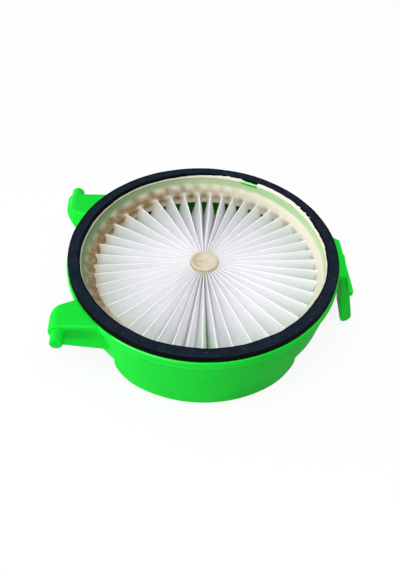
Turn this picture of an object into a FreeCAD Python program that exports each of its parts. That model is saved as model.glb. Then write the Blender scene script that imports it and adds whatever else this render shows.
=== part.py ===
"""Round pleated filter of a vacuum cleaner: a moulded bowl with hinge ears and a latch lever holds a disc
of radial pleats, potted at its edge and round its hub, and carries a foam gasket on its rim.

Millimetres. +Z points up to the gasket, the origin is on the bowl's axis at the underside of its foot, the
hinge ears are at -X and the latch is at +X.
"""
import FreeCAD, Part
import math
import os
import Sketcher
from FreeCAD import Placement, Rotation, Vector

SIZES = {
    # foam gasket and the glue film under it
    "gasket_radius": 67.5,
    "gasket_width": 5.2,
    "gasket_height": 3.0,
    "gasket_edge": 0.5,
    "film_height": 0.3,
    "film_proud": 0.7,
    "film_setback": 0.6,
    "film_rise": 2.5,
    # moulded bowl: rim band, drafted wall, raised sides and the narrower tub below them
    "body_height": 41.2,
    "rim_proud": 0.9,
    "rim_height": 4.2,
    "rim_lip": 0.9,
    "rim_edge": 0.7,
    "foot_radius": 59.4,
    "side_height": 16.4,
    "tub_width": 88.4,
    "tub_shift": 1.3,
    "tub_corner": 10.5,
    "wall": 2.4,
    # air outlet in the tub's floor and the ribs that carry the pleats
    "outlet_radius": 28.0,
    "outlet_boss_radius": 9.0,
    "spoke_width": 4.0,
    "rib_width": 2.4,
    "rib_height": 6.0,
    "rib_pitch": 28.0,
    # hinge ears and their pins
    "ear_reach": 4.6,
    "ear_span": 95.2,
    "ear_knee_width": 14.3,
    "ear_root_width": 27.0,
    "ear_root_depth": 28.0,
    "ear_height": 13.6,
    "ear_taper": 4.0,
    "heel_angle": 35.0,
    "ear_overrun": 0.3,
    "ear_edge": 1.0,
    "knuckle_radius": 4.8,
    "pin_radius": 3.2,
    "pin_length": 7.0,
    "pin_inset": 4.7,
    "pin_edge": 0.8,
    # latch: ledge under the rim and the lever that hangs from it
    "ledge_reach": 4.4,
    "ledge_span": 37.2,
    "ledge_skew": 1.35,
    "ledge_end": 7.4,
    "ledge_height": 2.6,
    "prong_width": 2.2,
    "prong_corner": 1.2,
    "lever_width": 16.0,
    "lever_thickness": 3.5,
    "lever_flare": 3.2,
    "lever_tip_radius": 3.1,
    "lever_clearance": 2.7,
    "lever_facet": 3.2,
    "lever_edge": 0.6,
    # pleated disc, its potting and its hub plug
    "pleat_count": 44,
    "pleat_recess": 3.2,
    "pleat_thickness": 1.6,
    "potting_width": 6.0,
    "potting_drop": 1.1,
    "potting_dip": 3.6,
    "potting_depth": 12.8,
    "hub_radius": 7.2,
    "hub_proud": 1.3,
    "hub_edge": 1.1,
    "glue_fit": 0.1,
}

doc = FreeCAD.newDocument("pleated_filter")
sheet = doc.addObject("Spreadsheet::Sheet", "Size")
for row, (alias, number) in enumerate(SIZES.items(), 1):
    sheet.set(f"A{row}", alias)
    sheet.set(f"B{row}", str(number))
    sheet.setAlias(f"B{row}", alias)
doc.recompute()

# Places worked out from the driving sizes
RIM_RADIUS = "(Size.gasket_radius + Size.rim_proud)"
RIM_BOTTOM = "(Size.body_height - Size.rim_height)"
WALL_TOP_RADIUS = f"({RIM_RADIUS} - Size.rim_lip)"
FLOOR_TOP = "(Size.side_height + Size.wall)"
FILM_TOP = "(Size.body_height + Size.film_height)"
BORE_TOP_RADIUS = "(Size.gasket_radius - Size.gasket_width)"
TUB_HALF = "(Size.tub_width / 2)"
PLEAT_TOP = "(Size.body_height - Size.pleat_recess)"
PLEAT_RADIUS = f"({BORE_TOP_RADIUS} - Size.potting_width)"
EAR_TIP = f"({RIM_RADIUS} + Size.ear_reach)"
KNUCKLE_X = f"({EAR_TIP} - Size.knuckle_radius)"
PIN_X = f"({EAR_TIP} - Size.pin_inset)"
PIN_Z = "(Size.body_height - Size.knuckle_radius)"
EAR_FACE = "(Size.ear_span / 2)"
LEDGE_X = f"({RIM_RADIUS} + Size.ledge_reach)"
LEDGE_BOTTOM = f"({RIM_BOTTOM} - Size.ledge_height)"

# Lengths under this count as nought when edges are picked
NOUGHT = 0.001


def wall_radius(height):
    """Outer radius of the drafted wall at a height."""
    return f"(Size.foot_radius + ({WALL_TOP_RADIUS} - Size.foot_radius) * ({height}) / {RIM_BOTTOM})"


BORE_FOOT_RADIUS = f"({wall_radius(FLOOR_TOP)} - Size.wall)"


def bore_radius(height):
    """Inner radius of the bowl, above its floor, at a height."""
    share = f"(({height}) - {FLOOR_TOP}) / (Size.body_height - {FLOOR_TOP})"
    return f"({BORE_FOOT_RADIUS} + ({BORE_TOP_RADIUS} - {BORE_FOOT_RADIUS}) * {share})"


def measure(expression):
    return float(sheet.evalExpression(expression))


def bind(thing, **expressions):
    for name, expression in expressions.items():
        thing.setExpression(name, expression)
    return thing


def pin_down(sketch, geometry, end, x, y):
    """Fixes one end of a sketch element by two distances, or onto an axis where a distance is nought."""
    for kind, expression, axis in (("DistanceX", x, -2), ("DistanceY", y, -1)):
        if expression is None:
            continue
        if expression == "0":
            sketch.addConstraint(Sketcher.Constraint("PointOnObject", geometry, end, axis))
            continue
        index = sketch.addConstraint(Sketcher.Constraint(kind, -1, 1, geometry, end, measure(expression)))
        sketch.setExpression(f"Constraints[{index}]", expression)


def outline(body, name, plane, corners):
    """Closed outline on an origin plane. A corner is (x, y), or (x, y, centre x, centre y) for the end of a
    short arc that starts at the corner before it."""
    sketch = body.newObject("Sketcher::SketchObject", name)
    sketch.AttachmentSupport = [(next(f for f in body.Origin.OriginFeatures if f.Role == plane), "")]
    sketch.MapMode = "FlatFace"
    spots = [Vector(measure(corner[0]), measure(corner[1]), 0) for corner in corners]
    for index, corner in enumerate(corners):
        start, end = spots[index - 1], spots[index]
        if len(corner) == 2:
            sketch.addGeometry(Part.LineSegment(start, end))
        else:
            centre = Vector(measure(corner[2]), measure(corner[3]), 0)
            middle = centre + ((start + end) * 0.5 - centre).normalize() * (end - centre).Length
            sketch.addGeometry(Part.Arc(start, middle, end))
    for index, corner in enumerate(corners):
        following = (index + 1) % len(corners)
        end = near_end(sketch, index, spots[index])
        start = near_end(sketch, following, spots[index])
        sketch.addConstraint(Sketcher.Constraint("Coincident", index, end, following, start))
        pin_down(sketch, index, end, corner[0], corner[1])
        if len(corner) == 4:
            pin_down(sketch, index, 3, corner[2], None)
    return sketch


def near_end(sketch, geometry, spot):
    """The end, 1 or 2, of a sketch element that lies at a spot."""
    ends = (sketch.getPoint(geometry, 1), sketch.getPoint(geometry, 2))
    return 1 if (ends[0] - spot).Length < (ends[1] - spot).Length else 2


def new_body(name):
    return doc.addObject("PartDesign::Body", name)


def turned(name, corners):
    """A body turned about Z from an outline of (radius, height) corners."""
    body = new_body(name)
    spin = body.newObject("PartDesign::Revolution", f"{name}_turn")
    spin.Profile = outline(body, f"{name}_half", "XZ_Plane", corners)
    spin.ReferenceAxis = (spin.Profile[0], ["V_Axis"])
    spin.Angle = 360
    return body


def through(body, name, kind, profile, width):
    """A pad or pocket that reaches equally to both sides of its outline's plane."""
    feature = body.newObject(f"PartDesign::{kind}", name)
    feature.Profile = profile
    feature.SideType = "Symmetric"
    return bind(feature, Length=width)


def cylinder(name, radius, height, base="0"):
    piece = doc.addObject("Part::Cylinder", name)
    return bind(piece, Radius=radius, Height=height, **{"Placement.Base.z": base})


def cone(name, low_radius, high_radius, low, high):
    piece = doc.addObject("Part::Cone", name)
    span = f"{high} - {low}"
    return bind(piece, Radius1=low_radius, Radius2=high_radius, Height=span, **{"Placement.Base.z": low})


def bar(name, length, width, low, high, x="0", y="0"):
    """A level bar along X, centred on the given x and y."""
    piece = doc.addObject("Part::Box", name)
    bind(piece, Length=length, Width=width, Height=f"{high} - {low}")
    places = {"Placement.Base.x": f"{x} - ({length}) / 2", "Placement.Base.y": f"{y} - ({width}) / 2"}
    return bind(piece, **places, **{"Placement.Base.z": low})


def joined(name, pieces):
    fuse = doc.addObject("Part::MultiFuse", name)
    fuse.Shapes = pieces
    fuse.Refine = True
    return fuse


def paired(kind, name, base, tool):
    result = doc.addObject(f"Part::{kind}", name)
    result.Base = base
    result.Tool = tool
    return result


def round_edges(body, name, radius, picked):
    """Rounds the edges of the body's tip whose bounding boxes are picked."""
    doc.recompute()
    base = body.Tip
    fillet = body.newObject("PartDesign::Fillet", name)
    edges = [f"Edge{number}" for number, edge in enumerate(base.Shape.Edges, 1) if picked(edge.BoundBox)]
    fillet.Base = (base, edges)
    return bind(fillet, Radius=radius)


def round_top_edges(body, name, radius, height):
    level = measure(height) - NOUGHT
    return round_edges(body, name, radius, lambda box: box.ZMin > level)


def front_shape(name, inset, low, high, reach):
    """The tub seen from the front, upright sides with round lower corners, run through from front to back and
    shifted towards the latch. With a reach it carries the wider sides above the tub as well."""
    latch_side = f"({TUB_HALF} + Size.tub_shift - {inset})"
    hinge_side = f"({TUB_HALF} - Size.tub_shift - {inset})"
    corner = f"(Size.tub_corner - {inset})"
    latch_turn = f"({latch_side} - {corner})"
    hinge_turn = f"({hinge_side} - {corner})"
    turn_z = f"({low} + {corner})"
    right = [
        (latch_turn, low),
        (latch_side, turn_z, latch_turn, turn_z),
        (latch_side, high),
    ]
    left = [
        (f"-{hinge_side}", high),
        (f"-{hinge_side}", turn_z),
        (f"-{hinge_turn}", low, f"-{hinge_turn}", turn_z),
    ]
    if reach:
        right += [(reach, high), (reach, "Size.body_height")]
        left = [(f"-{reach}", "Size.body_height"), (f"-{reach}", high)] + left
    body = new_body(name)
    profile = outline(body, f"{name}_front", "XZ_Plane", right + left)
    through(body, f"{name}_run", "Pad", profile, f"2 * {RIM_RADIUS}")
    return body


def bowl():
    """The solid bowl: rim band and drafted wall turned as one, its sides cut away beside the tub."""
    top = "Size.body_height"
    edge_radius = f"({RIM_RADIUS} - Size.rim_edge)"
    blank = turned("bowl_blank", [
        ("0", "0"),
        ("Size.foot_radius", "0"),
        (WALL_TOP_RADIUS, RIM_BOTTOM),
        (edge_radius, RIM_BOTTOM),
        (RIM_RADIUS, f"({RIM_BOTTOM} + Size.rim_edge)", edge_radius, f"({RIM_BOTTOM} + Size.rim_edge)"),
        (RIM_RADIUS, f"({top} - Size.rim_edge)"),
        (edge_radius, top, edge_radius, f"({top} - Size.rim_edge)"),
        ("0", top),
    ])
    limits = front_shape("bowl_limits", "0", "0", "Size.side_height", RIM_RADIUS)
    return paired("Common", "bowl", blank, limits)


def hinge_ears():
    """Both ears as one block seen from the front, parted by a tapered gap that rounds their noses; the bridge
    between them lies inside the bowl and goes with its hollow."""
    body = new_body("ears")
    root_x = f"({RIM_RADIUS} - Size.ear_root_depth)"
    bridge = f"(Size.wall - {root_x})"
    foot = "(Size.body_height - Size.ear_height)"
    heel_x = f"({KNUCKLE_X} + Size.knuckle_radius * cos(Size.heel_angle))"
    heel_z = f"({PIN_Z} - Size.knuckle_radius * sin(Size.heel_angle))"
    side = outline(body, "ear_side", "XZ_Plane", [
        (bridge, f"({foot} - Size.ear_taper)"),
        (bridge, "Size.body_height"),
        (f"-{KNUCKLE_X}", "Size.body_height"),
        (f"-{heel_x}", heel_z, f"-{KNUCKLE_X}", PIN_Z),
        (f"-({heel_x} - ({heel_z} - {foot}) * tan(Size.heel_angle))", foot),
    ])
    through(body, "ear_block", "Pad", side, "Size.ear_span")
    knee = f"({EAR_FACE} - Size.ear_knee_width)"
    root = f"({EAR_FACE} - Size.ear_root_width)"
    lean = f"atan(({knee} - {root}) / ({KNUCKLE_X} - {root_x}))"
    nose_x = f"({EAR_TIP} + Size.ear_overrun)"
    nose_radius = f"(({nose_x} - {KNUCKLE_X}) / (1 - sin({lean})))"
    nose = f"({knee} + {nose_radius} * cos({lean}))"
    nose_centre = f"-({nose_x} - {nose_radius})"
    gap = outline(body, "ear_gap", "XY_Plane", [
        (f"-{root_x}", f"-{root}"),
        (f"-{root_x}", root),
        (f"-{KNUCKLE_X}", knee),
        (f"-{nose_x}", nose, nose_centre, nose),
        (f"-{nose_x}", f"-{nose}"),
        (f"-{KNUCKLE_X}", f"-{knee}", nose_centre, f"-{nose}"),
    ])
    through(body, "ear_parting", "Pocket", gap, "3 * Size.body_height")
    round_edges(body, "ear_round", "Size.ear_edge", lambda box: box.XLength > NOUGHT)
    return body


def hinge_pins():
    """A pin with a rounded end on each ear, rooted in the ear's outer side."""
    length = "(Size.pin_length + Size.wall)"
    shoulder = f"({length} - Size.pin_edge)"
    end_radius = "(Size.pin_radius - Size.pin_edge)"
    pins = []
    for side, sign in (("front", -1), ("back", 1)):
        pin = turned(f"pin_{side}", [
            ("0", "0"),
            ("Size.pin_radius", "0"),
            ("Size.pin_radius", shoulder),
            (end_radius, length, end_radius, shoulder),
            ("0", length),
        ])
        pin.Placement = Placement(Vector(0, 0, 0), Rotation(Vector(1, 0, 0), -90 * sign))
        inner_end = f"{sign} * ({EAR_FACE} - Size.wall)"
        pins.append(bind(pin, **{
            "Placement.Base.x": f"-{PIN_X}",
            "Placement.Base.y": inner_end,
            "Placement.Base.z": PIN_Z,
        }))
    return pins


def latch():
    """Ledge under the rim, skewed, with a slanted back end and a free prong in front, and the lever that
    hangs from it and flares outwards."""
    body = new_body("latch_block")
    half = "(Size.ledge_span / 2)"
    edge_y = "(Size.lever_width / 2)"
    front_x = f"({LEDGE_X} + Size.ledge_skew)"
    corner_x = f"({front_x} - Size.prong_corner)"
    corner_y = f"({half} - Size.prong_corner)"
    ledge = body.newObject("PartDesign::Pad", "ledge")
    ledge.Profile = outline(body, "ledge_plan", "XY_Plane", [
        (BORE_TOP_RADIUS, f"-{edge_y}"),
        (f"({front_x} - Size.prong_width)", f"-{edge_y}"),
        (f"({front_x} - Size.prong_width)", f"-{half}"),
        (corner_x, f"-{half}"),
        (front_x, f"-{corner_y}", corner_x, f"-{corner_y}"),
        (f"({LEDGE_X} - Size.ledge_skew)", half),
        (BORE_TOP_RADIUS, f"({half} + Size.ledge_end)"),
    ])
    bind(ledge.Profile[0], **{"AttachmentOffset.Base.z": LEDGE_BOTTOM})
    bind(ledge, Length="Size.ledge_height")
    inner = f"({LEDGE_X} - Size.lever_thickness)"
    tip_x = f"({LEDGE_X} + Size.lever_flare)"
    tip_z = "(Size.lever_clearance + Size.lever_tip_radius)"
    side = outline(body, "lever_side", "XZ_Plane", [
        (inner, RIM_BOTTOM),
        (f"({tip_x} - Size.lever_tip_radius)", tip_z),
        (tip_x, "Size.lever_clearance", tip_x, tip_z),
        (f"({tip_x} + Size.lever_tip_radius)", tip_z, tip_x, tip_z),
        (LEDGE_X, RIM_BOTTOM),
    ])
    through(body, "lever", "Pad", side, "Size.lever_width")
    doc.recompute()
    facet_x = f"({LEDGE_X} + Size.lever_tip_radius / 2)"
    far_x = f"({tip_x} + 2 * Size.lever_tip_radius)"
    for side_name, sign in (("front", "-"), ("back", "")):
        corner = outline(body, f"facet_{side_name}_plan", "XY_Plane", [
            (facet_x, f"{sign}{edge_y}"),
            (far_x, f"{sign}({edge_y} - Size.lever_facet)"),
            (far_x, f"{sign}{edge_y}"),
        ])
        through(body, f"facet_{side_name}", "Pocket", corner, f"2 * {RIM_BOTTOM}")
    under = measure(LEDGE_BOTTOM) - NOUGHT
    across = measure(edge_y)
    round_edges(body, "lever_round", "Size.lever_edge", lambda box: box.ZMin < under and box.YLength < across)
    return body


def hollow():
    """The room inside the bowl, the room inside the tub below it, and the round air outlet."""
    bore = cone("bore", BORE_FOOT_RADIUS, BORE_TOP_RADIUS, FLOOR_TOP, "Size.body_height")
    low_radius = f"({wall_radius('Size.wall')} - Size.wall)"
    drafted = cone("tub_round", low_radius, BORE_FOOT_RADIUS, "Size.wall", FLOOR_TOP)
    upright = front_shape("tub_upright", "Size.wall", "Size.wall", FLOOR_TOP, None)
    tub = paired("Common", "tub_room", drafted, upright)
    outlet = cylinder("outlet", "Size.outlet_radius", "Size.wall")
    return joined("room", [bore, tub, outlet])


def grille():
    """Two crossed spokes and a round boss in the outlet, and the ribs under the pleats."""
    reach = "(2 * Size.outlet_radius + Size.wall)"
    pieces = [
        cylinder("outlet_boss", "Size.outlet_boss_radius", "Size.wall"),
        bar("spoke_across", reach, "Size.spoke_width", "0", "Size.wall"),
        bar("spoke_along", "Size.spoke_width", reach, "0", "Size.wall"),
    ]
    span = "(Size.tub_width - Size.wall)"
    low = f"({FLOOR_TOP} - Size.rib_height)"
    for name, steps in (("front", -1), ("middle", 0), ("back", 1)):
        place = f"{steps} * Size.rib_pitch"
        pieces.append(bar(f"rib_{name}", span, "Size.rib_width", low, FLOOR_TOP, "Size.tub_shift", place))
    return pieces


def housing():
    outside = joined("outside", [bowl(), hinge_ears(), latch(), *hinge_pins()])
    shell = paired("Cut", "shell", outside, hollow())
    return joined("housing", [shell, *grille()])


def gasket():
    top = f"({FILM_TOP} + Size.gasket_height)"
    body = turned("gasket", [
        (BORE_TOP_RADIUS, FILM_TOP),
        ("Size.gasket_radius", FILM_TOP),
        ("Size.gasket_radius", top),
        (BORE_TOP_RADIUS, top),
    ])
    round_top_edges(body, "gasket_round", "Size.gasket_edge", top)
    return body


def gasket_film():
    """Glue between rim and gasket, squeezed out past the gasket's inner edge and up its inner side."""
    inner = f"({BORE_TOP_RADIUS} - Size.film_proud)"
    outer = "(Size.gasket_radius - Size.film_setback)"
    crest = f"({FILM_TOP} + Size.film_rise)"
    return turned("gasket_film", [
        (inner, "Size.body_height"),
        (outer, "Size.body_height"),
        (outer, FILM_TOP),
        (BORE_TOP_RADIUS, FILM_TOP),
        (BORE_TOP_RADIUS, crest),
        (inner, crest),
    ])


def potting_ring():
    """Glue that fills the room between the pleats' ends and the wall, sinking towards the pleats."""
    top = "(Size.body_height - Size.potting_drop)"
    low = f"({top} - Size.potting_depth)"
    inner = f"({PLEAT_RADIUS} + Size.glue_fit)"
    return turned("potting_ring", [
        (inner, low),
        (f"({bore_radius(low)} - Size.glue_fit)", low),
        (f"({bore_radius(top)} - Size.glue_fit)", top),
        (inner, f"({top} - Size.potting_dip)"),
    ])


def hub_plug():
    top = f"({PLEAT_TOP} + Size.hub_proud)"
    body = turned("hub_plug", [
        ("0", FLOOR_TOP),
        ("Size.hub_radius", FLOOR_TOP),
        ("Size.hub_radius", top),
        ("0", top),
    ])
    round_top_edges(body, "hub_round", "Size.hub_edge", top)
    return body


def filter_media():
    """One sheet folded into radial pleats: ruled faces between each ridge and the valleys beside it, closed
    at the hub and at the rim."""
    count = round(sheet.pleat_count)
    radii = (measure("Size.hub_radius + Size.glue_fit"), measure(PLEAT_RADIUS))
    thickness = sheet.pleat_thickness
    ridge = measure(PLEAT_TOP)
    valley = measure(FLOOR_TOP) + thickness

    def spot(fold, radius, drop):
        angle = math.pi * fold / count
        height = valley if fold % 2 else ridge
        return Vector(radius * math.cos(angle), radius * math.sin(angle), height - drop)

    def ruled(first, second):
        return Part.makeRuledSurface(Part.makeLine(*first), Part.makeLine(*second))

    faces = []
    for fold in range(2 * count):
        pair = (fold, (fold + 1) % (2 * count))
        for drop in (0, thickness):
            faces.append(ruled(*[[spot(f, r, drop) for r in radii] for f in pair]))
        for radius in radii:
            faces.append(ruled(*[[spot(f, radius, drop) for f in pair] for drop in (0, thickness)]))
    shell = Part.Shell(faces)
    shell.sewShape()
    solid = Part.Solid(shell)
    if solid.Volume < 0:
        solid.reverse()
    media = doc.addObject("Part::Feature", "filter_media")
    media.Shape = solid
    media.Placement = Placement()
    return media


SUB_PARTS = {
    "housing": housing(),
    "gasket": gasket(),
    "gasket_film": gasket_film(),
    "potting_ring": potting_ring(),
    "filter_media": filter_media(),
    "hub_plug": hub_plug(),
}
doc.recompute()

for thing in doc.Objects:
    if "Invalid" in thing.State or "Error" in thing.State:
        raise RuntimeError(f"{thing.Name} failed: {thing.State}")
os.makedirs("parts", exist_ok=True)
for node, piece in SUB_PARTS.items():
    piece.Label = node
    if piece.Shape.isNull() or not piece.Shape.isValid() or len(piece.Shape.Solids) != 1:
        raise RuntimeError(f"{node} is not one sound solid")
for node, piece in SUB_PARTS.items():
    piece.Shape.exportStep(f"parts/{node}.step")
    print(node, f"{piece.Shape.Volume:.0f} mm3")
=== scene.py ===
"""Studio scene of a vacuum cleaner's round pleated filter: a green moulded bowl with hinge ears and a latch
lever, a dark foam gasket, ragged gasket glue, cream potting glue, a pack of white pleats and the glue plug at
its hub.

Metres in the model, millimetres in the named sizes. +Z points up to the gasket, the ears are at -X.
"""
import bmesh
import bpy
import math
import random
from mathutils import Matrix, Vector, noise


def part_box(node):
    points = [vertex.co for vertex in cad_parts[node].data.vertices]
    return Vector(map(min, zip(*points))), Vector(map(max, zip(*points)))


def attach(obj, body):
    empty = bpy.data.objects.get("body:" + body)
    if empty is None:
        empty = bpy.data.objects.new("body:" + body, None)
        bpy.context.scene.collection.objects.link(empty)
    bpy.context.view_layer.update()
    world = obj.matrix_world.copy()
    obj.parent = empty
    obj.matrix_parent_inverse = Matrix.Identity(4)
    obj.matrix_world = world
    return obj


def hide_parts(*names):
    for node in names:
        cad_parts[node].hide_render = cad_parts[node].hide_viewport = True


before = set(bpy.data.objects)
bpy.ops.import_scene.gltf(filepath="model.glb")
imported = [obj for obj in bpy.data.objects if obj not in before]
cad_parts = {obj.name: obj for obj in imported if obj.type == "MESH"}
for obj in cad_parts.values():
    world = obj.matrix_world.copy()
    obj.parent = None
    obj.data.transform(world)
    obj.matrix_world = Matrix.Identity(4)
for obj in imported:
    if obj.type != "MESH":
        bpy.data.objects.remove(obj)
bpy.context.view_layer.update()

MM = 0.001

# Distances within which a vertex lies on an edge, and within which two vertices are merged
NEAR = 0.01
MERGE = 0.0001

# Camera of the photograph: a pinhole that looks at the middle of the gasket's upper face
IMAGE_SIZE = (400, 570)
SENSOR = 36.0
FOCAL_PIXELS = 876
TARGET_PIXEL = (203.8, 252.4)
CAMERA_DISTANCE = 438.75 * MM
CAMERA_AZIMUTH = math.radians(-2.0)
CAMERA_ELEVATION = math.radians(43.98)
CAMERA_ROLL = math.radians(2.46)

# Light of the world from the hinge side and the latch side, the floor's own glow and what the lamps face
HINGE_SIDE_LIGHT = 0.9
LATCH_SIDE_LIGHT = 0.12
FLOOR_GLOW = 0.88
LAMP_TARGET = Vector((0, 0, 30)) * MM

# Pleats: gathered by hand, so closer together at some places round the hub than at others. A swing is how
# many times it comes round, how many degrees it moves a pleat, and where it starts
PLEATS = 44
SWINGS = ((1, 1.6, 10), (2, 3.05, -9), (4, 1.8, 90))
FIRST_PLEAT = 0.4
CREST_WIDTH = 0.6
CREST_CROWN = 0.08

# How far the paper's underside lies below its face
PAPER_DROP = 1.6

# Largest lean of a crest and billow of a face, and mean dip of a crest
LEAN = 0.55
BILLOW = 0.5
DIP = 0.25

# Length along a pleat over which a billow and a dip come and go
BILLOW_LENGTH = 18
DIP_LENGTH = 15

# Share of their depth that the folds keep: at the hub, at the hub in front and at the wall in front
HUB_DEPTH = 0.15
HUB_DEPTH_FRONT = 0.32
WALL_DEPTH_FRONT = 0.85

# The fold that gapes most, at the front, and its width, in degrees before the pleats are drawn uneven
OPEN_FOLD = -86
OPEN_WIDTH = 2.5

# Strength of the green light on the paper near the wall and down in the open fold
WALL_TINGE = 0.28
FOLD_TINGE = 0.75

# How far the pack's middle and its ends lie off the bowl's axis
HUB_SHIFT = Vector((0.5, -0.3))
PACK_SHIFT = Vector((1.2, -1.6))


def heights(node):
    """Lowest and highest level of a node, in millimetres."""
    low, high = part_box(node)
    return low.z / MM, high.z / MM


def reach(node):
    """Largest radius of a round node, in millimetres."""
    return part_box(node)[1].y / MM


GASKET_WIDTH = 5.2
GASKET_RADIUS = reach("gasket")
GASKET_LOW, GASKET_TOP = heights("gasket")
BORE_RADIUS = GASKET_RADIUS - GASKET_WIDTH

# The gasket is cut by hand and laps a little over its seat on both sides
LAP_INSIDE = 0.6
LAP_OUTSIDE = 0.35
GASKET_BORE = BORE_RADIUS - LAP_INSIDE

# Edges of the rim band, where pale lines are painted as highlights from the ears on: the upper one only as
# far as the middle
RIM_TOP = heights("housing")[1]
RIM_LOWER_EDGE = RIM_TOP - 3.95
RIM_UPPER_EDGE = RIM_TOP - 0.3
RIM_EDGE_RADIUS = GASKET_RADIUS + 0.7
HIGHLIGHT_HALF_HEIGHT = 0.35
HIGHLIGHT_DEPTH = 0.4
HIGHLIGHT_SHARE = 0.55
UPPER_HIGHLIGHT_SHARE = 0.7

# Sideways places between which the upper edge's painted highlight fades out, and between which the ears end
HIGHLIGHT_FADES = (-35, 0)
EARS_END = (-43, -40)

PACK_RADIUS = reach("filter_media")
PACK_LOW, RIDGE_TOP = heights("filter_media")
HUB_RADIUS = reach("hub_plug")
HUB_LOW, HUB_TOP = heights("hub_plug")
POTTING_TOP = heights("potting_ring")[1]

# The potting glue thins out to a film between these two levels, which sway, and climb towards the back
FILM_FROM = POTTING_TOP - 3.0
FILM_FULL = POTTING_TOP - 1.2
FILM_SWAY = 0.6
FILM_CLIMB = 1.3
CLIMB_FROM, CLIMB_TO = 20, 55

# How much higher the gasket's glue and the potting glue's film reach at the back
GASKET_GLUE_LIFT = 0.8
FILM_LIFT = 1.2

# Stretch where the gasket's glue is low and thin: it begins suddenly and ends slowly
THIN_FROM, THIN_TO = math.radians(62), math.radians(68)
THIN_START = math.radians(0.8)
THIN_END = math.radians(4)

# Where flakes of the gasket's glue lap over the gasket, and how far along, in degrees
FLAKES_AT = 27
FLAKES_WIDTH = 9


# Node and mesh helpers

def linear(code):
    """Linear colour of an sRGB hex code."""
    parts = [int(code[start:start + 2], 16) / 255 for start in (1, 3, 5)]
    return (*[p / 12.92 if p <= 0.04045 else ((p + 0.055) / 1.055) ** 2.4 for p in parts], 1.0)


def add_node(tree, kind, inputs=None, stops=(), **settings):
    """Adds a node with its settings. An input is a number, a colour, or another node's output to link; stops
    are the places and colours of a ramp."""
    node = tree.nodes.new(kind)
    for name, value in settings.items():
        setattr(node, name, value)
    for name, value in (inputs or {}).items():
        if isinstance(value, bpy.types.NodeSocket):
            tree.links.new(value, node.inputs[name])
        else:
            node.inputs[name].default_value = value
    for number, (place, colour) in enumerate(stops):
        elements = node.color_ramp.elements
        element = elements[number] if number < 2 else elements.new(place)
        element.position = place
        element.color = colour
    return node


def per_mm(size):
    """Scale of a texture whose features are so many millimetres wide."""
    return 1 / (size * MM)


def new_material(name):
    """An empty material, its node tree and the piece's own coordinates."""
    made = bpy.data.materials.new(name)
    made.use_nodes = True
    made.node_tree.nodes.clear()
    place = add_node(made.node_tree, "ShaderNodeTexCoord").outputs["Object"]
    return made, made.node_tree, place


def finish_material(tree, inputs):
    """Ends a material with its shader."""
    shader = add_node(tree, "ShaderNodeBsdfPrincipled", inputs)
    add_node(tree, "ShaderNodeOutputMaterial", {"Surface": shader.outputs["BSDF"]})


def turned(profile, steps, closed=True):
    """A mesh turned about Z from (radius, height) corners in millimetres."""
    bm = bmesh.new()
    corners = [bm.verts.new((radius * MM, 0, height * MM)) for radius, height in profile]
    followers = corners[1:] + (corners[:1] if closed else [])
    edges = [bm.edges.new(pair) for pair in zip(corners, followers)]
    bmesh.ops.spin(bm, geom=corners + edges, cent=(0, 0, 0), axis=(0, 0, 1), angle=math.tau, steps=steps,
                   use_merge=True)
    bmesh.ops.remove_doubles(bm, verts=bm.verts, dist=MERGE * MM)
    bmesh.ops.recalc_face_normals(bm, faces=bm.faces)
    return bm


def polar(point):
    """Radius in millimetres and angle of a point about Z."""
    return math.hypot(point.x, point.y) / MM, math.atan2(point.y, point.x)


def put(vertex, radius, angle, height, shift=Vector((0, 0))):
    """Places a vertex by radius, angle, height and sideways shift, in millimetres."""
    vertex.co = Vector((radius * math.cos(angle) + shift.x, radius * math.sin(angle) + shift.y, height)) * MM


def crowded(angle):
    """Angle in the finished pack of what would be at the given angle with even pleats."""
    moves = [size * math.cos(times * angle + math.radians(start)) for times, size, start in SWINGS]
    return angle + math.radians(FIRST_PLEAT + sum(moves))


def waver(angle, size, seed):
    """Smooth random number from -1 to 1 round the axis; size is how many degrees its swings take."""
    turn = math.degrees(1) / size
    return noise.noise(Vector((math.cos(angle) * turn, math.sin(angle) * turn, seed)))


def smooth_step(low, high, value):
    """Rises smoothly from 0 at low to 1 at high, whichever of the two is larger."""
    share = min(1.0, max(0.0, (value - low) / (high - low)))
    return share * share * (3 - 2 * share)


def mix(first, last, share):
    """Value at a share of the way from the first to the last."""
    return first + (last - first) * share


def at_back(angle):
    """0 at the front and the sides, 1 at the back."""
    return smooth_step(0.3, 0.9, math.sin(angle))


def thin_stretch(angle):
    """1 where the gasket's glue is low and thin, 0 elsewhere."""
    begun = smooth_step(THIN_FROM - THIN_START, THIN_FROM, angle)
    ended = smooth_step(THIN_TO, THIN_TO + THIN_END, angle)
    return begun * (1 - ended)


def piece(name, bm, material, node, crease=40):
    """Turns a mesh into a piece that rides on the part and stands for a node."""
    mesh = bpy.data.meshes.new(name)
    bm.to_mesh(mesh)
    bm.free()
    mesh.shade_smooth()
    mesh.set_sharp_from_angle(angle=math.radians(crease))
    mesh.materials.append(material)
    made = bpy.data.objects.new(name, mesh)
    bpy.context.scene.collection.objects.link(made)
    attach(made, "root")
    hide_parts(node)
    return made


# Materials

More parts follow.
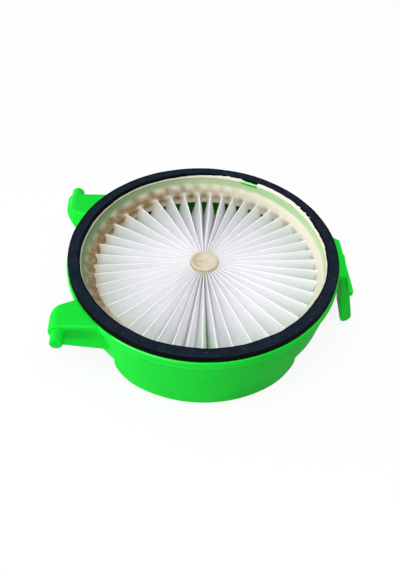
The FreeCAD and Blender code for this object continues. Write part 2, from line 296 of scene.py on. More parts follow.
def green_abs():
    """Injection-moulded ABS in a vivid green: smooth and glossy, with the faint ripple and flow shading that
    moulded walls show, a few fine scuffs that dull the gloss, and painted highlight lines along the rim
    band's edges."""
    made, tree, place = new_material("green_moulded_abs")
    flow = add_node(tree, "ShaderNodeTexNoise", {"Vector": place, "Scale": per_mm(30), "Detail": 3.0})
    tint = add_node(tree, "ShaderNodeValToRGB", {"Fac": flow.outputs["Fac"]},
                    stops=[(0.3, linear("#14D335")), (0.7, linear("#18DD39"))])
    scuff = add_node(tree, "ShaderNodeTexNoise", {"Vector": place, "Scale": per_mm(4), "Detail": 6.0,
                                                  "Roughness": 0.7})
    dull = add_node(tree, "ShaderNodeMapRange", {"Value": scuff.outputs["Fac"], "From Min": 0.4,
                                                 "From Max": 0.75, "To Min": 0.4, "To Max": 0.55})
    ripple = add_node(tree, "ShaderNodeTexNoise", {"Vector": place, "Scale": per_mm(7), "Detail": 2.0})
    bump = add_node(tree, "ShaderNodeBump", {"Height": ripple.outputs["Fac"], "Strength": 0.05,
                                             "Distance": 0.4 * MM})
    spot = add_node(tree, "ShaderNodeSeparateXYZ", {"Vector": place}).outputs
    across = add_node(tree, "ShaderNodeCombineXYZ", {"X": spot["X"], "Y": spot["Y"]})
    radius = add_node(tree, "ShaderNodeVectorMath", {0: across.outputs["Vector"]}, operation="LENGTH")
    # Painted highlight: pale lines along the rim band's edges, the lower one from the ears on, the upper one
    # from the ears to the middle
    on_rim = add_node(tree, "ShaderNodeMath", {0: radius.outputs["Value"], 1: RIM_EDGE_RADIUS * MM,
                                               2: HIGHLIGHT_DEPTH * MM}, operation="COMPARE")
    lower, upper = [
        add_node(tree, "ShaderNodeMath", {0: spot["Z"], 1: height * MM, 2: HIGHLIGHT_HALF_HEIGHT * MM},
                 operation="COMPARE")
        for height in (RIM_LOWER_EDGE, RIM_UPPER_EDGE)
    ]
    hinge_side = add_node(tree, "ShaderNodeMapRange", {"Value": spot["X"], "From Min": HIGHLIGHT_FADES[0] * MM,
                                                       "From Max": HIGHLIGHT_FADES[1] * MM,
                                                       "To Min": UPPER_HIGHLIGHT_SHARE, "To Max": 0.0})
    upper = add_node(tree, "ShaderNodeMath", {0: upper.outputs["Value"], 1: hinge_side.outputs["Result"]},
                     operation="MULTIPLY")
    on_edge = add_node(tree, "ShaderNodeMath", {0: lower.outputs["Value"], 1: upper.outputs["Value"]},
                       operation="MAXIMUM")
    painted_highlight = add_node(tree, "ShaderNodeMath", {0: on_rim.outputs["Value"], 1: on_edge.outputs["Value"]},
                    operation="MULTIPLY")
    past_ears = add_node(tree, "ShaderNodeMapRange", {"Value": spot["X"], "From Min": EARS_END[0] * MM,
                                                      "From Max": EARS_END[1] * MM, "To Max": HIGHLIGHT_SHARE})
    faint = add_node(tree, "ShaderNodeMath", {0: painted_highlight.outputs["Value"], 1: past_ears.outputs["Result"]},
                     operation="MULTIPLY")
    colour = add_node(tree, "ShaderNodeMix", {0: faint.outputs["Value"], 6: tint.outputs["Color"],
                                              7: linear("#8DF596")}, data_type="RGBA")
    finish_material(tree, {"Base Color": colour.outputs[2], "Roughness": dull.outputs["Result"], "IOR": 1.53,
                           "Specular IOR Level": 0.0, "Coat Weight": 0.1, "Coat Roughness": 0.16,
                           "Coat IOR": 1.5, "Normal": bump.outputs["Normal"]})
    return made


def gasket_foam():
    """Closed-cell neoprene foam, die cut: blue-black and matt, with fine cells, a soft bloom and specks of
    dust, and painted shade that blackens its sides and a border of its face. The cells are drawn about three
    times as coarse as real ones so that they show."""
    made, tree, place = new_material("neoprene_foam")
    cells = add_node(tree, "ShaderNodeTexVoronoi", {"Vector": place, "Scale": per_mm(0.7)})
    bloom = add_node(tree, "ShaderNodeTexNoise", {"Vector": place, "Scale": per_mm(5), "Detail": 5.0})
    tint = add_node(tree, "ShaderNodeValToRGB", {"Fac": bloom.outputs["Fac"]},
                    stops=[(0.3, linear("#0D1722")), (0.75, linear("#192633"))])
    dust = add_node(tree, "ShaderNodeTexNoise", {"Vector": place, "Scale": per_mm(0.9), "Detail": 2.0})
    specks = add_node(tree, "ShaderNodeMapRange", {"Value": dust.outputs["Fac"], "From Min": 0.66,
                                                   "From Max": 0.78, "To Max": 0.45})
    dusty = add_node(tree, "ShaderNodeMix", {0: specks.outputs["Result"], 6: tint.outputs["Color"],
                                             7: linear("#5A6472")}, data_type="RGBA")
    # Painted shade: the sides and a border of the face are darkened to near black
    cut = add_node(tree, "ShaderNodeAttribute", attribute_name="painted_edge_shade").outputs["Fac"]
    colour = add_node(tree, "ShaderNodeMix", {0: cut, 6: dusty.outputs[2], 7: linear("#020305")},
                      data_type="RGBA")
    bump = add_node(tree, "ShaderNodeBump", {"Height": cells.outputs["Distance"], "Strength": 0.25,
                                             "Distance": 0.12 * MM})
    finish_material(tree, {"Base Color": colour.outputs[2], "Roughness": 0.75, "IOR": 1.45,
                           "Specular IOR Level": 0.06, "Normal": bump.outputs["Normal"]})
    return made


def gasket_glue():
    """Contact adhesive squeezed out under the gasket and left to dry: white and thick on the latch side, a
    thin smear on the hinge side that is painted greyer there as shade, and so thin on one stretch that the
    green shows through."""
    made, tree, place = new_material("dried_contact_glue")
    side = add_node(tree, "ShaderNodeSeparateXYZ", {"Vector": place}).outputs["X"]
    # Painted shade: the glue is greyer towards the hinge side, which lies in shade, and white towards the
    # latch
    thick = add_node(tree, "ShaderNodeMapRange", {"Value": side, "From Min": -BORE_RADIUS * 0.9 * MM,
                                                  "From Max": BORE_RADIUS * 0.6 * MM})
    mottle = add_node(tree, "ShaderNodeTexNoise", {"Vector": place, "Scale": per_mm(2.5), "Detail": 4.0})
    body = add_node(tree, "ShaderNodeValToRGB", {"Fac": thick.outputs["Result"]},
                    stops=[(0.0, linear("#A3A795")), (1.0, linear("#F1EFE8")), (0.55, linear("#D8D2BE"))])
    mottled = add_node(tree, "ShaderNodeMix", {0: mottle.outputs["Fac"], 6: body.outputs["Color"],
                                               7: linear("#D9D3C3")}, data_type="RGBA")
    thin = add_node(tree, "ShaderNodeAttribute", attribute_name="thin").outputs["Fac"]
    colour = add_node(tree, "ShaderNodeMix", {0: thin, 6: mottled.outputs[2], 7: linear("#8FE486")},
                      data_type="RGBA")
    bump = add_node(tree, "ShaderNodeBump", {"Height": mottle.outputs["Fac"], "Strength": 0.3,
                                             "Distance": 0.3 * MM})
    finish_material(tree, {"Base Color": colour.outputs[2], "Roughness": 0.55, "IOR": 1.47,
                           "Specular IOR Level": 0.3, "Normal": bump.outputs["Normal"]})
    return made


def potting_glue():
    """Poured polyurethane potting glue: cream, satin and slightly cloudy. It runs out up the wall as a film
    through which the green shows, that green painted darker towards the hinge side as shade, and is browner
    where it is deep or has not spread, with painted shade in that brown on the hinge side and in the hollows."""
    made, tree, place = new_material("cream_potting_polyurethane")
    spot = add_node(tree, "ShaderNodeSeparateXYZ", {"Vector": place}).outputs
    cloud = add_node(tree, "ShaderNodeTexNoise", {"Vector": place, "Scale": per_mm(6), "Detail": 3.0})
    sway = add_node(tree, "ShaderNodeMapRange", {"Value": cloud.outputs["Fac"], "To Min": -FILM_SWAY * MM,
                                                 "To Max": FILM_SWAY * MM})
    swayed = add_node(tree, "ShaderNodeMath", {0: spot["Z"], 1: sway.outputs["Result"]}, operation="ADD")
    climb = add_node(tree, "ShaderNodeMapRange", {"Value": spot["Y"], "From Min": CLIMB_FROM * MM,
                                                  "From Max": CLIMB_TO * MM, "To Max": FILM_CLIMB * MM})
    level = add_node(tree, "ShaderNodeMath", {0: swayed.outputs["Value"], 1: climb.outputs["Result"]},
                     operation="SUBTRACT")
    across = add_node(tree, "ShaderNodeMapRange", {"Value": spot["X"], "From Min": -BORE_RADIUS * MM,
                                                   "From Max": BORE_RADIUS * MM})
    # Painted shade: the film's green is darker and greyer towards the hinge side, paler towards the latch
    # side
    veil = add_node(tree, "ShaderNodeValToRGB", {"Fac": across.outputs["Result"]},
                    stops=[(0.1, linear("#64865B")), (0.98, linear("#B0CE9E")), (0.5, linear("#9DB287")),
                           (0.85, linear("#92BC83"))])
    film = add_node(tree, "ShaderNodeMapRange", {"Value": level.outputs["Value"],
                                                 "From Min": FILM_FROM * MM, "From Max": FILM_FULL * MM},
                    interpolation_type="SMOOTHSTEP")
    # Brown, partly the glue's own colour and partly painted shade on the hinge side and in the hollows
    brown = add_node(tree, "ShaderNodeAttribute", attribute_name="brown").outputs["Fac"]
    blotch = add_node(tree, "ShaderNodeTexNoise", {"Vector": place, "Scale": per_mm(2.5), "Detail": 2.0})
    patchy = add_node(tree, "ShaderNodeMapRange", {"Value": blotch.outputs["Fac"], "From Min": 0.3,
                                                   "From Max": 0.7, "To Min": 0.78, "To Max": 1.12})
    brown_with_shade = add_node(tree, "ShaderNodeMath", {0: brown, 1: patchy.outputs["Result"]}, operation="MULTIPLY",
                     use_clamp=True)
    body = add_node(tree, "ShaderNodeMix", {0: brown_with_shade.outputs["Value"], 6: linear("#DCD7C4"),
                                            7: linear("#7E6842")}, data_type="RGBA")
    colour = add_node(tree, "ShaderNodeMix", {0: film.outputs["Result"], 6: body.outputs[2],
                                              7: veil.outputs["Color"]}, data_type="RGBA")
    bump = add_node(tree, "ShaderNodeBump", {"Height": cloud.outputs["Fac"], "Strength": 0.12,
                                             "Distance": 0.6 * MM})
    finish_material(tree, {"Base Color": colour.outputs[2], "Roughness": 0.4, "IOR": 1.5,
                           "Specular IOR Level": 0.35, "Normal": bump.outputs["Normal"]})
    return made


def hub_glue():
    """The same cream polyurethane, set in a small mould: matt, and browner towards the rim, partly a browner
    skin and partly painted shade, with painted shade on one side of the dish and in the nick."""
    made, tree, place = new_material("cream_hub_polyurethane")
    skin = add_node(tree, "ShaderNodeTexNoise", {"Vector": place, "Scale": per_mm(3), "Detail": 4.0})
    # Painted shade in the nick and the crescent; at the rim partly a browner skin and partly painted shade
    deep = add_node(tree, "ShaderNodeAttribute", attribute_name="hollow").outputs["Fac"]
    light = add_node(tree, "ShaderNodeValToRGB", {"Fac": skin.outputs["Fac"]},
                     stops=[(0.3, linear("#CFC1A8")), (0.7, linear("#DCD0BB"))])
    colour = add_node(tree, "ShaderNodeMix", {0: deep, 6: light.outputs["Color"], 7: linear("#AE9B70")},
                      data_type="RGBA")
    bump = add_node(tree, "ShaderNodeBump", {"Height": skin.outputs["Fac"], "Strength": 0.2,
                                             "Distance": 0.3 * MM})
    finish_material(tree, {"Base Color": colour.outputs[2], "Roughness": 0.5, "IOR": 1.5,
                           "Normal": bump.outputs["Normal"]})
    return made


def filter_paper():
    """Spun-bonded polyester filter paper: white and matt, calendered with a fine point pattern, with loose
    fibres that speckle it. The points are drawn at about twice their real pitch so that they show. Green
    light from the bowl tints it near the wall and down in the folds, and glue has soaked into its ends."""
    made, tree, place = new_material("spunbond_filter_paper")
    points = add_node(tree, "ShaderNodeTexVoronoi", {"Vector": place, "Scale": per_mm(1.0),
                                                     "Randomness": 0.6})
    fibres = add_node(tree, "ShaderNodeTexNoise", {"Vector": place, "Scale": per_mm(0.8), "Detail": 4.0,
                                                   "Roughness": 0.7})
    tint = add_node(tree, "ShaderNodeValToRGB", {"Fac": fibres.outputs["Fac"]},
                    stops=[(0.3, linear("#F3F3F6")), (0.55, linear("#FBFBFE"))])
    glow = add_node(tree, "ShaderNodeAttribute", attribute_name="green_glow").outputs["Fac"]
    lit = add_node(tree, "ShaderNodeMix", {0: glow, 6: tint.outputs["Color"], 7: linear("#84C48C")},
                   data_type="RGBA")
    glued = add_node(tree, "ShaderNodeAttribute", attribute_name="glued").outputs["Fac"]
    colour = add_node(tree, "ShaderNodeMix", {0: glued, 6: lit.outputs[2], 7: linear("#E0CFAE")},
                      data_type="RGBA")
    relief = add_node(tree, "ShaderNodeMath", {0: points.outputs["Distance"], 1: fibres.outputs["Fac"]},
                      operation="ADD")
    bump = add_node(tree, "ShaderNodeBump", {"Height": relief.outputs["Value"], "Strength": 0.45,
                                             "Distance": 0.12 * MM})
    finish_material(tree, {"Base Color": colour.outputs[2], "Roughness": 0.9, "IOR": 1.45,
                           "Specular IOR Level": 0.1, "Normal": bump.outputs["Normal"]})
    return made


# Pieces

def foam_gasket():
    """Flat ring with softened edges, cut and laid by hand, so its width wavers. Inside it laps over its seat
    except at the back. Its sides and a border of its face carry painted shade; on the outer border the shade
    fades away towards the front."""
    rounding = 0.5
    border, fade = 1.3, 0.2
    inner_waver, inner_ripple = 0.35, 0.12
    outer_waver, sag = 0.25, 0.25
    outer = GASKET_RADIUS + LAP_OUTSIDE
    middle = (GASKET_BORE + outer) / 2
    bm = turned([
        (GASKET_BORE, GASKET_LOW),
        (outer, GASKET_LOW),
        (outer, GASKET_TOP),
        (outer - border + fade, GASKET_TOP),
        (outer - border, GASKET_TOP),
        (middle, GASKET_TOP),
        (GASKET_BORE + border, GASKET_TOP),
        (GASKET_BORE, GASKET_TOP),
    ], steps=240)
    sides = (GASKET_BORE, outer)
    face = (GASKET_TOP - NEAR) * MM
    corners = [
        e for e in bm.edges
        if all(v.co.z > face and min(abs(polar(v.co)[0] - side) for side in sides) < NEAR for v in e.verts)
    ]
    bmesh.ops.bevel(bm, geom=corners, offset=rounding * MM, offset_type="OFFSET", affect="EDGES", segments=3,
                    profile=0.5, material=-1)
    edge_shade_layer = bm.verts.layers.float.new("painted_edge_shade")
    for vertex in bm.verts:
        radius, angle = polar(vertex.co)
        height = vertex.co.z / MM
        # Painted shade on the sides and the face's border, on the outer border only towards the back
        vertex[edge_shade_layer] = float(min(abs(radius - side) for side in sides) < border - fade / 2)
        if radius > middle and vertex.co.z > face:
            vertex[edge_shade_layer] *= smooth_step(-0.2, 0.4, math.sin(angle))
        if radius < middle:
            radius += inner_waver * waver(angle, size=9, seed=1.3)
            radius += inner_ripple * waver(angle, size=2, seed=4.1)
            radius += LAP_INSIDE * at_back(angle)
        else:
            radius -= outer_waver * abs(waver(angle, size=12, seed=7.7))
        sink = sag * abs(waver(angle, size=15, seed=2.9)) * smooth_step(GASKET_LOW, GASKET_TOP, height)
        put(vertex, radius, angle, height - sink)
    return piece("foam_gasket", bm, gasket_foam(), "gasket")


def gasket_film():
    """Glue squeezed up the gasket's inner side: low at the hinge, high and ragged at the latch, where flakes
    of it lap over the gasket's edge, raised at the back, and low and thin on one stretch."""
    low, crest = heights("gasket_film")
    outer = reach("gasket_film")
    behind = GASKET_BORE + 0.4
    proud = 0.55
    bm = turned([
        (outer, low),
        (outer, GASKET_LOW),
        (behind, GASKET_LOW),
        (behind, crest),
        (GASKET_BORE, crest),
        (GASKET_BORE - proud * 0.5, crest - 0.5),
        (GASKET_BORE - proud, crest - 1.4),
        (GASKET_BORE - proud, low + 0.5),
        (GASKET_BORE - proud * 0.3, low),
    ], steps=540)
    highest = GASKET_TOP - 0.02

    # Shares of height and raggedness that the hinge side has, and of height that the thin stretch loses
    hinge_height, hinge_ragged, thin_loss = 0.3, 0.25, 0.4

    # Raggedness of the height, as a share of it, and of the radius
    ragged_height, ragged_reach = 0.25, 0.3

    # How far a flake laps over the gasket and stands up
    flake_reach, flake_rise = 0.7, 0.5

    # Share by which the glue is pressed flat at the latch
    pressed = 0.7
    thin_layer = bm.verts.layers.float.new("thin")
    for vertex in bm.verts:
        radius, angle = polar(vertex.co)
        thin = thin_stretch(angle)
        vertex[thin_layer] = thin
        if radius > behind + NEAR:
            continue
        share = (vertex.co.z / MM - low) / (crest - low)
        full = mix(hinge_height, 1, smooth_step(-0.4, 0.6, math.cos(angle)))
        rough = 0.5 * waver(angle, size=3, seed=9.2) + 0.4 * waver(angle, size=1.1, seed=3.3)
        ragged = mix(hinge_ragged, 1, smooth_step(-0.4, 0.5, math.cos(angle))) * rough
        up = share * (full + ragged_height * ragged) * (1 - thin_loss * thin)
        flaked = math.exp(-((math.degrees(angle) - FLAKES_AT) / FLAKES_WIDTH) ** 2)
        lap = flaked * smooth_step(0.0, 0.3, rough) * smooth_step(0.9, 1.0, share)
        radius += pressed * smooth_step(0.3, 0.9, math.cos(angle)) * max(0.0, GASKET_BORE - radius)
        radius += ragged_reach * ragged * (1 - lap) + flake_reach * lap + LAP_INSIDE * at_back(angle)
        height = mix(low, crest, up) + GASKET_GLUE_LIFT * at_back(angle) + flake_rise * lap
        put(vertex, radius, angle, min(height, highest))
    return piece("gasket_film_glue", bm, gasket_glue(), "gasket_film")


def potting():
    """Glue ring: a film down the wall, a shallow level run and a face that the pleats' ends go into, with a
    drop round each end and a hollow between each two. The drops and hollows are deepest at the back, and the
    brown of the deep glue arches round each drop; that brown is partly the glue's own colour and partly
    painted shade, on the hinge side and in the hollows. Rows of the profile are radius, height, depth of the
    hollow and rise of the drop."""
    wall = BORE_RADIUS - 0.1
    inner = PACK_RADIUS - 0.7
    rows = [
        (wall, RIM_TOP - 0.2, 0.0, 0.0),
        (wall - 0.7, POTTING_TOP - 0.1, 0.0, 0.0),
        (wall - 1.5, POTTING_TOP - 1.2, 0.0, 0.0),
        (wall - 2.2, POTTING_TOP - 2.1, 0.0, 0.0),
        (wall - 3.0, POTTING_TOP - 2.8, 0.1, 0.0),
        (wall - 4.0, POTTING_TOP - 3.3, 0.2, 0.3),
        (inner + 0.9, POTTING_TOP - 3.6, 0.5, 1.0),
        (inner + 0.2, POTTING_TOP - 4.2, 0.8, 1.5),
        (inner, POTTING_TOP - 5.5, 1.0, 1.0),
        (inner, POTTING_TOP - 7.2, 0.9, 0.3),
        (inner, POTTING_TOP - 8.4, 0.5, 0.0),
        (inner + 0.3, POTTING_TOP - 9.4, 0.3, 0.0),
        (inner + 1.8, POTTING_TOP - 10.2, 0.0, 0.0),
        (wall - 1.5, POTTING_TOP - 10.6, 0.0, 0.0),
    ]
    film_edge, thin_drop = POTTING_TOP - 1, 1.0

    # Share of their size that the drops and hollows keep at the front
    front_share = 0.15

    # How far the drops lean inwards for their rise, and how far the brown arches round them
    lean_in, arch = 0.3, 1.4

    # Brown of the run, of its deep part and of the hollows, partly the glue's own colour and partly painted
    # shade, and how much of it the lip and the drops lose
    run_brown_and_shade, deep_brown_and_shade, hollow_brown_and_shade = 0.75, 0.35, 0.25
    lip_loss, drop_loss = 0.8, 0.8
    bm = turned([row[:2] for row in rows], steps=PLEATS * 12)
    brown_and_shade_layer = bm.verts.layers.float.new("brown")
    for vertex in bm.verts:
        radius, angle = polar(vertex.co)
        height = vertex.co.z / MM
        hollow, swell = min(rows, key=lambda row: abs(row[0] - radius) + abs(row[1] - height))[2:]

        # Shape of the drops and hollows
        deep_at_back = mix(front_share, 1, smooth_step(0.2, 0.8, math.sin(angle)))
        between = (1 - math.cos(PLEATS * angle)) / 2
        drop = (1 - between) ** 3
        uneven = 1 + 0.5 * waver(angle, size=8, seed=5.5)
        depth = hollow * between * uneven * deep_at_back
        rise = swell * drop * uneven * deep_at_back

        # Brown of the glue, partly its own colour and partly painted shade: strongest on the hinge side,
        # which lies in shade
        at_hinge = smooth_step(0.9, -0.9, math.cos(angle)) * smooth_step(-0.95, -0.3, math.sin(angle))
        bead = (1 - between) ** 1.5
        arched = radius - arch * bead
        browned = smooth_step(wall - 1, wall - 3, arched)
        deep = smooth_step(wall - 2.2, wall - 4.2, arched)
        at_end = 1 - smooth_step(PACK_RADIUS + 0.6, PACK_RADIUS + 2.4, radius)
        pale_drop = bead * at_end * at_back(angle)
        lip = smooth_step(POTTING_TOP - 5.5, POTTING_TOP - 8, height)
        run = at_hinge * (run_brown_and_shade + deep_brown_and_shade * deep) * (1 - lip_loss * lip) + hollow_brown_and_shade * depth
        vertex[brown_and_shade_layer] = min(1.0, browned * run * (1 - drop_loss * pale_drop))

        # Place in the ring
        inward = smooth_step(wall - 1, wall - 3, radius)
        if height > film_edge:
            height -= thin_drop * thin_stretch(angle)
        height += FILM_LIFT * at_back(angle) * smooth_step(wall - 3, wall - 0.5, radius)
        spread = crowded(angle) if inward > 0 else angle
        put(vertex, radius + depth - lean_in * rise, spread, height + rise, PACK_SHIFT * inward)
    return piece("potting_glue", bm, potting_glue(), "potting_ring", crease=70)


def pleats():
    """One pleat, a narrow flat crest between two faces, copied round the hub and then drawn to uneven spacing
    with each fold leaning a little its own way. The folds get shallower towards the hub, where they are
    pressed together, and less so at the front."""
    inner = HUB_RADIUS - 0.4
    half = math.pi / PLEATS
    valley = PACK_LOW + PAPER_DROP
    depth = RIDGE_TOP - valley
    along_cuts, across_cuts = 23, 5
    bm = bmesh.new()

    def line(turn, aside, height):
        """Two vertices, at the hub and at the pleat's end, on one fold line."""
        ends = []
        for radius, width in ((inner, aside * 0.5), (PACK_RADIUS, aside)):
            spot = (radius * math.cos(turn), radius * math.sin(turn) + width, height)
            ends.append(bm.verts.new(Vector(spot) * MM))
        return ends

    crest = line(0, 0, RIDGE_TOP)
    shoulder = line(0, CREST_WIDTH / 2, RIDGE_TOP - CREST_CROWN)
    fold = line(half, 0, valley)
    for near, far in ((crest, shoulder), (shoulder, fold)):
        bm.faces.new((near[0], near[1], far[1], far[0]))
    along = [bm.edges.get(ends) for ends in (crest, shoulder, fold)]
    bmesh.ops.subdivide_edges(bm, edges=along, cuts=along_cuts, use_grid_fill=True)
    across = [e for e in bm.edges if abs(e.verts[0].co.z - e.verts[1].co.z) > depth * MM / 2]
    bmesh.ops.subdivide_edges(bm, edges=across, cuts=across_cuts, use_grid_fill=True)
    bmesh.ops.mirror(bm, geom=bm.verts[:] + bm.edges[:] + bm.faces[:], axis="Y", merge_dist=MERGE * MM)
    bmesh.ops.spin(bm, geom=bm.verts[:] + bm.edges[:] + bm.faces[:], cent=(0, 0, 0), axis=(0, 0, 1),
                   angle=math.tau - 2 * half, steps=PLEATS - 1, use_duplicate=True)
    bmesh.ops.remove_doubles(bm, verts=bm.verts, dist=MERGE * MM)
    glow_layer = bm.verts.layers.float.new("green_glow")
    glued_layer = bm.verts.layers.float.new("glued")
    dice = random.Random(11)
    leans = [dice.uniform(-1, 1) for _ in range(PLEATS)]
    for vertex in bm.verts:
        radius, angle = polar(vertex.co)
        number = round(angle / (2 * half)) % PLEATS
        down = (RIDGE_TOP - vertex.co.z / MM) / depth
        out = smooth_step(inner, PACK_RADIUS, radius)

        # Green light and soaked glue
        near_wall = smooth_step(0.55 * PACK_RADIUS, PACK_RADIUS, radius)
        tinge = WALL_TINGE * near_wall * mix(0.4, 1, abs(math.cos(angle))) * (0.4 + down)
        open_fold = math.exp(-((math.degrees(angle) - OPEN_FOLD) / OPEN_WIDTH) ** 2)
        vertex[glow_layer] = min(1.0, tinge + FOLD_TINGE * out * down * open_fold)
        soaked = smooth_step(-0.6, 0.8, math.sin(angle) - math.cos(angle))
        vertex[glued_layer] = soaked * (1 - 0.6 * down) * smooth_step(PACK_RADIUS - 4, PACK_RADIUS, radius)

        # Uneven spacing, lean and depth, with billow and dip from each pleat's own part of the noise
        lean = LEAN * leans[number] * (1 - down) * out
        bulge = noise.noise(Vector((radius / BILLOW_LENGTH, number * 3.7, down)))
        billow = BILLOW * math.sin(math.pi * min(1, down)) * bulge
        at_wall = mix(WALL_DEPTH_FRONT, 1, smooth_step(-0.6, 0.6, math.sin(angle)))
        at_hub = mix(HUB_DEPTH, HUB_DEPTH_FRONT, smooth_step(0.1, 0.8, -math.sin(angle)))
        share = mix(at_hub, at_wall, out)
        dip = DIP * noise.noise(Vector((number * 5.3, radius / DIP_LENGTH, 8.8))) - DIP
        put(vertex, radius, crowded(angle) + (lean + billow * out) / max(radius, 1),
            RIDGE_TOP - down * depth * share + dip * (1 - down), HUB_SHIFT.lerp(PACK_SHIFT, out))
    under = bmesh.ops.extrude_face_region(bm, geom=bm.faces[:])["geom"]
    lowered = [v for v in under if isinstance(v, bmesh.types.BMVert)]
    bmesh.ops.translate(bm, verts=lowered, vec=(0, 0, -PAPER_DROP * MM))
    bmesh.ops.recalc_face_normals(bm, faces=bm.faces)
    return piece("pleated_paper", bm, filter_paper(), "filter_media", crease=50)


def hub():
    """Moulded plug with a soft edge, a shallow dish, a crescent pressed into its left side and a nick left of
    its middle."""
    rim = HUB_RADIUS
    bm = turned([
        (0, HUB_TOP - 0.45),
        (1.2, HUB_TOP - 0.45),
        (2.4, HUB_TOP - 0.4),
        (3.6, HUB_TOP - 0.32),
        (4.6, HUB_TOP - 0.15),
        (5.4, HUB_TOP - 0.03),
        (rim - 1.0, HUB_TOP),
        (rim - 0.5, HUB_TOP - 0.12),
        (rim - 0.15, HUB_TOP - 0.45),
        (rim, HUB_TOP - 1.0),
        (rim, HUB_LOW),
        (0, HUB_LOW),
    ], steps=96, closed=False)
    hub_shade_layer = bm.verts.layers.float.new("hollow")
    nick = Vector((-1.9, 0.1))
    nick_depth, nick_width = 0.5, 0.9
    crescent_depth, edge_wave = 0.2, 0.012
    # The nick and the crescent are darkened as painted shade; the rim is darker, partly a browner skin and
    # partly painted shade
    nick_shade, crescent_shade, edge_brown_and_shade = 0.9, 0.7, 0.6
    for vertex in bm.verts:
        radius, angle = polar(vertex.co)
        height = vertex.co.z / MM
        if height < HUB_TOP - 2:
            put(vertex, radius, angle, height, HUB_SHIFT)
            continue
        near = (Vector((vertex.co.x, vertex.co.y)) / MM - nick).length
        nicked = math.exp(-(near / nick_width) ** 2)
        ring = smooth_step(3.2, 5.0, radius) * (1 - smooth_step(5.6, 6.6, radius))
        crescent = ring * max(0, -math.cos(angle))
        edge = smooth_step(rim - 0.7, rim, radius)
        brown = nick_shade * nicked + crescent_shade * crescent + edge_brown_and_shade * edge
        vertex[hub_shade_layer] = min(1.0, brown)
        wavy = radius * (1 + edge_wave * waver(angle, size=30, seed=2.2))
        put(vertex, wavy, angle, height - nick_depth * nicked - crescent_depth * crescent, HUB_SHIFT)
    return piece("hub_glue_plug", bm, hub_glue(), "hub_plug")


# Studio

def camera():
    """The photograph's camera, turned about its own axis by the roll."""
    back = Vector((math.sin(CAMERA_AZIMUTH) * math.cos(CAMERA_ELEVATION),
                   -math.cos(CAMERA_AZIMUTH) * math.cos(CAMERA_ELEVATION), math.sin(CAMERA_ELEVATION)))
    level = Vector((math.cos(CAMERA_AZIMUTH), math.sin(CAMERA_AZIMUTH), 0))
    upright = back.cross(level)
    right = math.cos(CAMERA_ROLL) * level + math.sin(CAMERA_ROLL) * upright
    up = back.cross(right)
    data = bpy.data.cameras.new("photo_camera")
    long_side = max(IMAGE_SIZE)
    data.sensor_width = SENSOR
    data.lens = SENSOR * FOCAL_PIXELS / long_side
    data.shift_x = (IMAGE_SIZE[0] / 2 - TARGET_PIXEL[0]) / long_side
    data.shift_y = (TARGET_PIXEL[1] - IMAGE_SIZE[1] / 2) / long_side
    made = bpy.data.objects.new("photo_camera", data)
    bpy.context.scene.collection.objects.link(made)
    spot = Vector((0, 0, GASKET_TOP * MM)) + back * CAMERA_DISTANCE
    made.matrix_world = Matrix.Translation(spot) @ Matrix((right, up, back)).transposed().to_4x4()
    bpy.context.scene.camera = made


def soft_box(name, place, size, watts):
    """Square lamp that faces the part, with its place and size in metres."""
    data = bpy.data.lights.new(name, "AREA")
    data.shape = "SQUARE"
    data.size = size
    data.energy = watts
    made = bpy.data.objects.new(name, data)
    bpy.context.scene.collection.objects.link(made)
    made.location = place
    made.rotation_euler = (LAMP_TARGET - Vector(place)).to_track_quat("-Z", "Y").to_euler()


def background_ray(tree):
    """1 for the rays that see the background: from the camera, and in a reflection or through glass."""
    path = add_node(tree, "ShaderNodeLightPath").outputs
    seen = add_node(tree, "ShaderNodeMath", {0: path["Is Camera Ray"], 1: path["Is Glossy Ray"]},
                    operation="MAXIMUM")
    seen = add_node(tree, "ShaderNodeMath", {0: seen.outputs["Value"], 1: path["Is Transmission Ray"]},
                    operation="MAXIMUM")
    return seen.outputs["Value"]


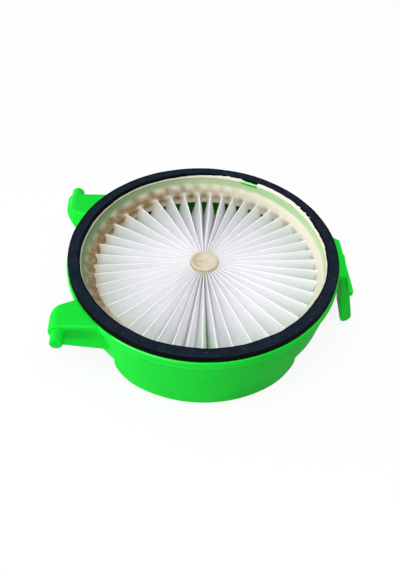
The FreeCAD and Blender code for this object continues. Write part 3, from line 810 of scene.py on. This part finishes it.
def soft_world():
    """World that shows white and lights the part softly, more from the hinge side."""
    world = bpy.data.worlds.new("studio_world")
    world.use_nodes = True
    tree = world.node_tree
    tree.nodes.clear()
    towards = add_node(tree, "ShaderNodeTexCoord").outputs["Generated"]
    side = add_node(tree, "ShaderNodeSeparateXYZ", {"Vector": towards}).outputs["X"]
    soft = add_node(tree, "ShaderNodeMapRange", {"Value": side, "From Min": -1.0, "From Max": 1.0,
                                                 "To Min": HINGE_SIDE_LIGHT, "To Max": LATCH_SIDE_LIGHT})
    strength = add_node(tree, "ShaderNodeMix", {0: background_ray(tree), 2: soft.outputs["Result"], 3: 1.0})
    light = add_node(tree, "ShaderNodeBackground", {"Color": linear("#FFFFFF"),
                                                    "Strength": strength.outputs[0]})
    add_node(tree, "ShaderNodeOutputWorld", {"Surface": light.outputs["Background"]})
    bpy.context.scene.world = world


def white_sweep():
    """Matt white paper under the part: it shows white with a faint shadow, and lights the part as grey paper
    would."""
    material = bpy.data.materials.new("white_paper_sweep")
    material.use_nodes = True
    tree = material.node_tree
    tree.nodes.clear()
    seen = background_ray(tree)
    tone = add_node(tree, "ShaderNodeMix", {0: seen, 6: linear("#B4B4B4"), 7: linear("#F4F4F4")},
                    data_type="RGBA")
    paper = add_node(tree, "ShaderNodeBsdfDiffuse", {"Color": tone.outputs[2]})
    glow = add_node(tree, "ShaderNodeEmission", {"Color": linear("#FFFFFF"), "Strength": 1.0})
    share = add_node(tree, "ShaderNodeMath", {0: seen, 1: FLOOR_GLOW}, operation="MULTIPLY")
    blend = add_node(tree, "ShaderNodeMixShader", {0: share.outputs["Value"], 1: paper.outputs["BSDF"],
                                                   2: glow.outputs["Emission"]})
    add_node(tree, "ShaderNodeOutputMaterial", {"Surface": blend.outputs["Shader"]})
    bm = bmesh.new()
    bmesh.ops.create_grid(bm, x_segments=1, y_segments=1, size=3.0)
    mesh = bpy.data.meshes.new("floor")
    bm.to_mesh(mesh)
    bm.free()
    mesh.materials.append(material)
    floor = bpy.data.objects.new("floor", mesh)
    bpy.context.scene.collection.objects.link(floor)


def studio():
    """Soft world, white sweep and four lamps."""
    bpy.context.scene.view_settings.view_transform = "Standard"
    soft_world()
    white_sweep()
    soft_box("window_left", (-1.0, -0.45, 0.09), size=0.22, watts=7.8)
    soft_box("window_back", (-0.72, 0.8, 0.25), size=0.25, watts=1.8)
    soft_box("ceiling", (0.1, -0.38, 1.07), size=0.8, watts=7.6)
    soft_box("front_fill", (-0.15, -1.0, 0.63), size=0.5, watts=1.0)


camera()
studio()
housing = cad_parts["housing"]
housing.data.materials.clear()
housing.data.materials.append(green_abs())
foam = foam_gasket()
gasket_film()
potting()
pleats()
hub()
